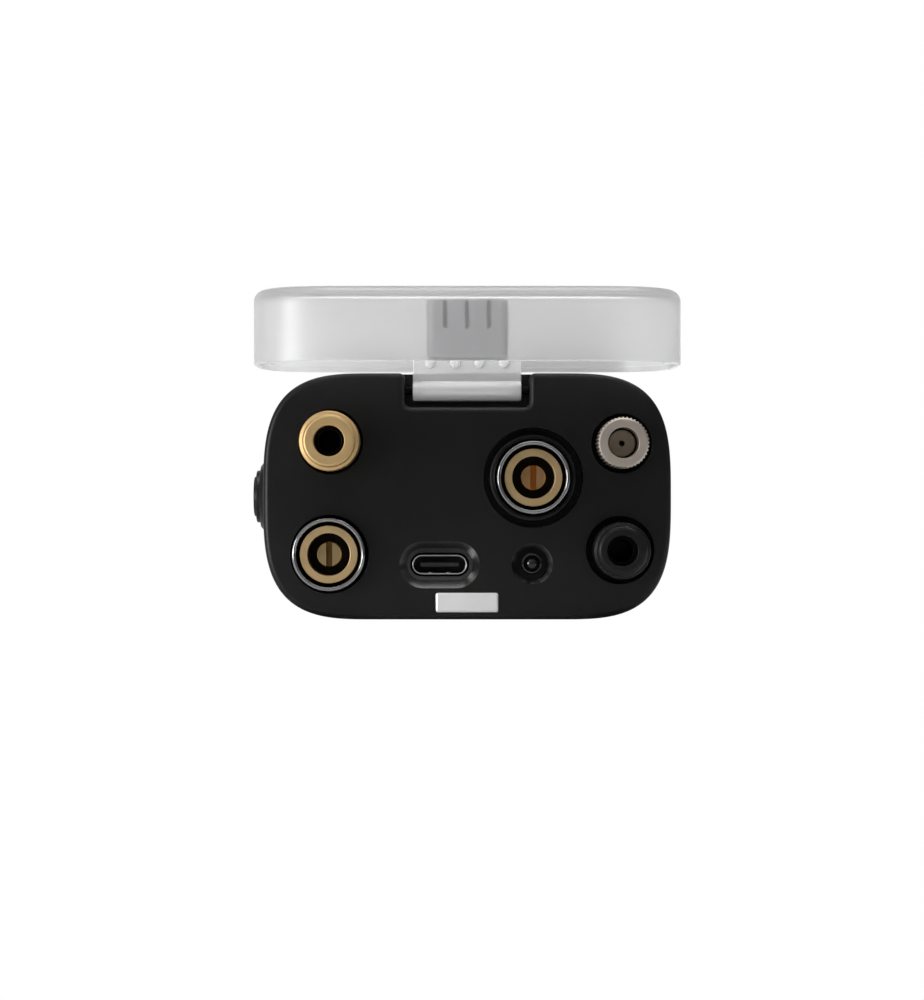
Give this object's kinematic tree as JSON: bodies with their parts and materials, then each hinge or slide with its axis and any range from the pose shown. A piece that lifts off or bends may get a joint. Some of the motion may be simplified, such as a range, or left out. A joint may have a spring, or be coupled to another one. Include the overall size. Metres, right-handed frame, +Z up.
{
  "type": "bodypack transmitter",
  "caption": "Palm-size black radio transmitter box with jack, coaxial, USB-C and knurled sockets on one end, under a frosted clear cap that swings open on a pin hinge.",
  "frame": {"origin": "middle of the flat bottom face, which the pack rests on", "axes": "+Z up, -Y the way the connectors face, +X to the right when looking at the connectors; the side button is on the -X side"},
  "size_m": [0.0679, 0.1261, 0.0511],
  "materials": {
    "satin_black": "satin moulded",
    "gloss_black": "gloss",
    "soft_black": "matt",
    "seal_rubber": "matt",
    "frosted_clear": "fine frosted, translucent polycarbonate",
    "latch_grey": "satin",
    "smoked_lens": "polished smoked clear",
    "led_white": "matt",
    "dielectric": "satin",
    "brass": "satin turned",
    "gold": "gold plated, satin",
    "chrome": "bright plated",
    "nickel": "satin nickel plated",
    "steel": "satin",
    "copper": "bare strip",
    "board": "solder resist",
    "battery_wrap": "shrink wrapped can",
    "lead_red": "wire insulation"
  },
  "bodies": {
    "housing": {"battery_cell": "battery_wrap", "battery_lead": "lead_red", "bezel_retainer": "steel", "black_jack_barrel": "gloss_black", "black_jack_collar": "satin_black", "black_jack_nut": "nickel", "board_screw_1": "steel", "board_screw_2": "steel", "board_screw_3": "steel", "board_screw_4": "steel", "brass_jack_barrel": "gloss_black", "brass_jack_collar": "brass", "brass_jack_nut": "nickel", "button_bezel": "satin_black", "button_board": "board", "chassis_frame": "soft_black", "connector_board": "board", "coupling_barrel": "nickel", "coupling_dielectric": "dielectric", "cover_screw_1": "steel", "cover_screw_2": "steel", "cover_screw_3": "steel", "cover_screw_4": "steel", "hinge_pin": "steel", "internal_antenna": "copper", "left_coax_contact": "gold", "left_coax_insulator": "soft_black", "left_coax_nut": "nickel", "left_coax_ring": "gold", "left_coax_shell": "chrome", "main_board": "board", "main_housing": "satin_black", "middle_coax_contact": "gold", "middle_coax_insulator": "soft_black", "middle_coax_nut": "nickel", "middle_coax_ring": "gold", "middle_coax_shell": "chrome", "rear_cover": "satin_black", "rear_seal": "seal_rubber", "rf_shield": "steel", "status_led": "led_white", "status_lens": "smoked_lens", "strike_plate": "nickel", "tact_switch": "steel", "usb_c_shell": "steel", "usb_c_tongue": "soft_black", "well_bezel": "satin_black"},
    "cap": {"cap_shell": "frosted_clear", "hinge_leaf": "frosted_clear", "friction_sleeve": "steel", "latch_block": "latch_grey", "latch_magnet": "nickel", "leaf_stake_1": "frosted_clear", "leaf_stake_2": "frosted_clear", "leaf_stake_3": "frosted_clear", "leaf_stake_4": "frosted_clear"},
    "button": {"side_button": "satin_black", "switch_plunger": "soft_black"},
    "coupling": {"coupling_ring": "nickel"}
  },
  "joints": [
    {"name": "cap_hinge", "type": "hinge", "parent": "housing", "child": "cap", "pos_m": [0, -0.0433, 0.0368], "axis": [1, 0, 0], "range_deg": [0, 90]},
    {"name": "button_press", "type": "slide", "parent": "housing", "child": "button", "axis": [1, 0, 0], "range_m": [0, 0.0007], "stiffness_N_per_m": 1000, "springref_m": -0.001},
    {"name": "ring_turn", "type": "hinge", "parent": "housing", "child": "coupling", "pos_m": [0.0248, -0.046, 0.02828], "axis": [0, -1, 0], "continuous": true}
  ]
}
